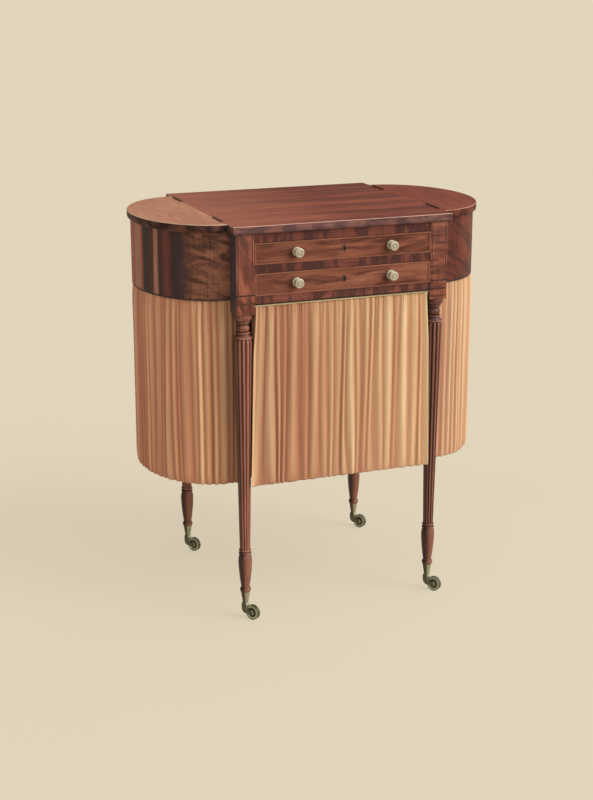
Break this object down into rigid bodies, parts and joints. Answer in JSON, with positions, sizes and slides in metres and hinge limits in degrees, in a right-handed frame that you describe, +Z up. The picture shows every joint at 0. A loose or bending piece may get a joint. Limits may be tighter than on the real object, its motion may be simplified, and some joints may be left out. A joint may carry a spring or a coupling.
{
  "type": "work table",
  "caption": "Sewing table with a straight centre and D-shaped wings under hinged lids, a drawer, a bag drawer, pleated bags and reeded legs on casters.",
  "frame": {"origin": "on the floor, at the centre of the table's box", "axes": "+X to the right seen from the front, the drawers open towards -Y, +Z is up"},
  "size_m": [0.672, 0.421, 0.7434],
  "materials": {
    "mahogany_top": "satin",
    "mahogany_lid": "satin",
    "mahogany_legs": "satin",
    "mahogany_rails": "satin",
    "mahogany_fronts": "satin",
    "mahogany_aprons": "satin",
    "inner_wood": "matte",
    "pale_wood": "satin",
    "gold_cloth": "satin",
    "brass": "aged",
    "ivory": "satin",
    "iron": "aged"
  },
  "bodies": {
    "case": {"centre_top": "mahogany_top", "front_left_leg": "mahogany_legs", "front_right_leg": "mahogany_legs", "back_left_leg": "mahogany_legs", "back_right_leg": "mahogany_legs", "top_rail": "mahogany_rails", "divider_rail": "mahogany_rails", "back_panel": "mahogany_rails", "left_side_panel": "inner_wood", "right_side_panel": "inner_wood", "left_apron": "mahogany_aprons", "right_apron": "mahogany_aprons", "left_bag": "gold_cloth", "right_bag": "gold_cloth", "wing_floors": "inner_wood", "drawer_runners": "inner_wood", "hinge_fixed_leaves": "brass", "hinge_pins": "brass", "caster_cups": "brass"},
    "left_lid_body": {"left_lid": "mahogany_lid", "left_lid_leaves": "brass"},
    "right_lid_body": {"right_lid": "mahogany_lid", "right_lid_leaves": "brass"},
    "upper_drawer": {"upper_drawer_front": "mahogany_fronts", "upper_drawer_sides": "inner_wood", "upper_drawer_back": "inner_wood", "upper_drawer_bottom": "inner_wood", "upper_knobs": "ivory", "upper_knob_bolts": "iron", "upper_escutcheon": "brass", "upper_lock": "iron"},
    "upper_bolt": {"upper_lock_bolt": "iron"},
    "bag_drawer": {"lower_drawer_front": "mahogany_fronts", "lower_rail": "mahogany_rails", "pale_strip": "pale_wood", "lower_drawer_sides": "inner_wood", "lower_drawer_back": "inner_wood", "till": "inner_wood", "bag_sides": "inner_wood", "bag_back": "gold_cloth", "bag_floor": "inner_wood", "bag_front": "gold_cloth", "lower_knobs": "ivory", "lower_knob_bolts": "iron", "lower_escutcheon": "brass", "lower_lock": "iron"},
    "lower_bolt": {"lower_lock_bolt": "iron"},
    "front_left_swivel": {"front_left_caster_horn": "brass", "front_left_caster_axle": "iron"},
    "front_left_wheel": {"front_left_caster_wheel": "brass"},
    "front_right_swivel": {"front_right_caster_horn": "brass", "front_right_caster_axle": "iron"},
    "front_right_wheel": {"front_right_caster_wheel": "brass"},
    "back_left_swivel": {"back_left_caster_horn": "brass", "back_left_caster_axle": "iron"},
    "back_left_wheel": {"back_left_caster_wheel": "brass"},
    "back_right_swivel": {"back_right_caster_horn": "brass", "back_right_caster_axle": "iron"},
    "back_right_wheel": {"back_right_caster_wheel": "brass"}
  },
  "joints": [
    {"name": "left_lid_hinge", "type": "hinge", "parent": "case", "child": "left_lid_body", "pos_m": [-0.21, 0.0055, 0.74075], "axis": [0, 1, 0], "range_deg": [0, 180]},
    {"name": "right_lid_hinge", "type": "hinge", "parent": "case", "child": "right_lid_body", "pos_m": [0.21, 0.0055, 0.74075], "axis": [0, -1, 0], "range_deg": [0, 180]},
    {"name": "upper_drawer_slide", "type": "slide", "parent": "case", "child": "upper_drawer", "axis": [0, -1, 0], "range_m": [0, 0.23]},
    {"name": "bag_drawer_slide", "type": "slide", "parent": "case", "child": "bag_drawer", "axis": [0, -1, 0], "range_m": [0, 0.23]},
    {"name": "upper_lock_throw", "type": "slide", "parent": "upper_drawer", "child": "upper_bolt", "axis": [0, 0, 1], "range_m": [0, 0.006]},
    {"name": "lower_lock_throw", "type": "slide", "parent": "bag_drawer", "child": "lower_bolt", "axis": [0, 0, 1], "range_m": [0, 0.006]},
    {"name": "front_left_swivel_turn", "type": "hinge", "parent": "case", "child": "front_left_swivel", "pos_m": [-0.187, -0.1765, 0.031], "axis": [0, 0, 1], "continuous": true},
    {"name": "front_left_wheel_roll", "type": "hinge", "parent": "front_left_swivel", "child": "front_left_wheel", "pos_m": [-0.17799, -0.19092, 0.014], "axis": [0.848, 0.5299, 0], "continuous": true},
    {"name": "front_right_swivel_turn", "type": "hinge", "parent": "case", "child": "front_right_swivel", "pos_m": [0.187, -0.1765, 0.031], "axis": [0, 0, 1], "continuous": true},
    {"name": "front_right_wheel_roll", "type": "hinge", "parent": "front_right_swivel", "child": "front_right_wheel", "pos_m": [0.19601, -0.19092, 0.014], "axis": [0.848, 0.5299, 0], "continuous": true},
    {"name": "back_left_swivel_turn", "type": "hinge", "parent": "case", "child": "back_left_swivel", "pos_m": [-0.187, 0.1875, 0.031], "axis": [0, 0, 1], "continuous": true},
    {"name": "back_left_wheel_roll", "type": "hinge", "parent": "back_left_swivel", "child": "back_left_wheel", "pos_m": [-0.17799, 0.17308, 0.014], "axis": [0.848, 0.5299, 0], "continuous": true},
    {"name": "back_right_swivel_turn", "type": "hinge", "parent": "case", "child": "back_right_swivel", "pos_m": [0.187, 0.1875, 0.031], "axis": [0, 0, 1], "continuous": true},
    {"name": "back_right_wheel_roll", "type": "hinge", "parent": "back_right_swivel", "child": "back_right_wheel", "pos_m": [0.19601, 0.17308, 0.014], "axis": [0.848, 0.5299, 0], "continuous": true}
  ]
}
